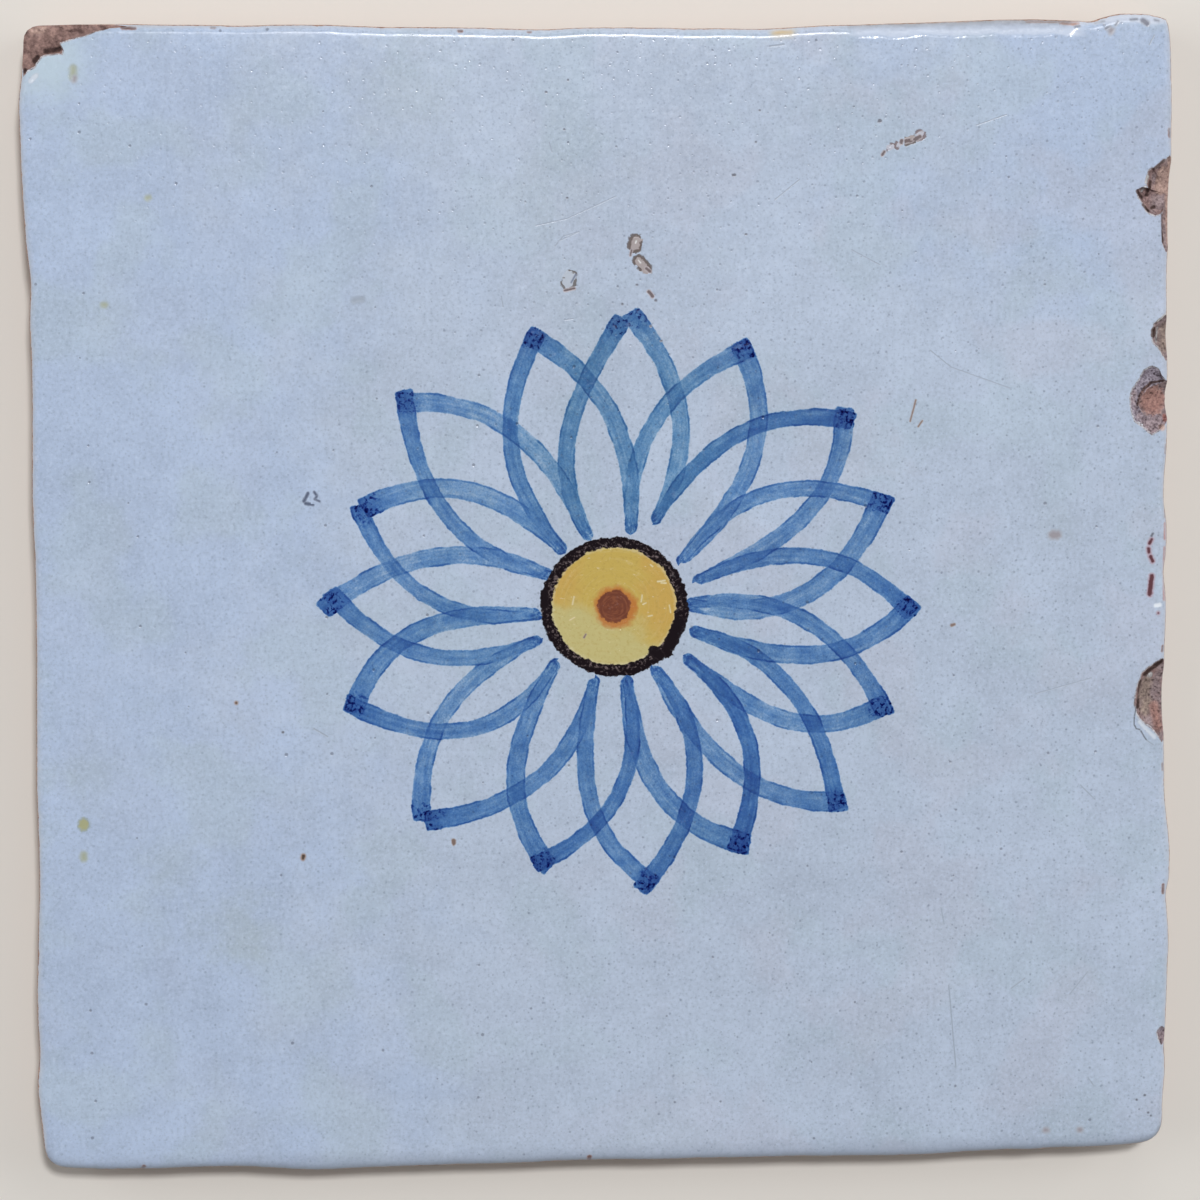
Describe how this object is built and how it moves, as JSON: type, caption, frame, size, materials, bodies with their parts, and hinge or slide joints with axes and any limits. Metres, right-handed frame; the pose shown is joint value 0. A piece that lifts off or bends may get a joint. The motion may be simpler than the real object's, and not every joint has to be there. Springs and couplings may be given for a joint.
{
  "type": "hand-painted glazed wall tile",
  "caption": "Square fired-clay wall tile with a pale tin glaze, a petal rosette painted on its face, leaning sides and worn, chipped edges.",
  "frame": {"origin": "middle of the bedding face, on the surface that the tile lies on", "axes": "+Z out of the glazed face, +X to the right and +Y to the top of the ornament as the picture shows it"},
  "size_m": [0.2, 0.2018, 0.013],
  "materials": {
    "glazed_earthenware": "glossy pale blue-grey tin glaze with fine specks, painted in diluted cobalt blue, manganese brown and yellow; bare pinkish clay on the sides, the back and in the chips"
  },
  "bodies": {
    "root": {"azulejo_tile": "glazed_earthenware"}
  },
  "joints": []
}
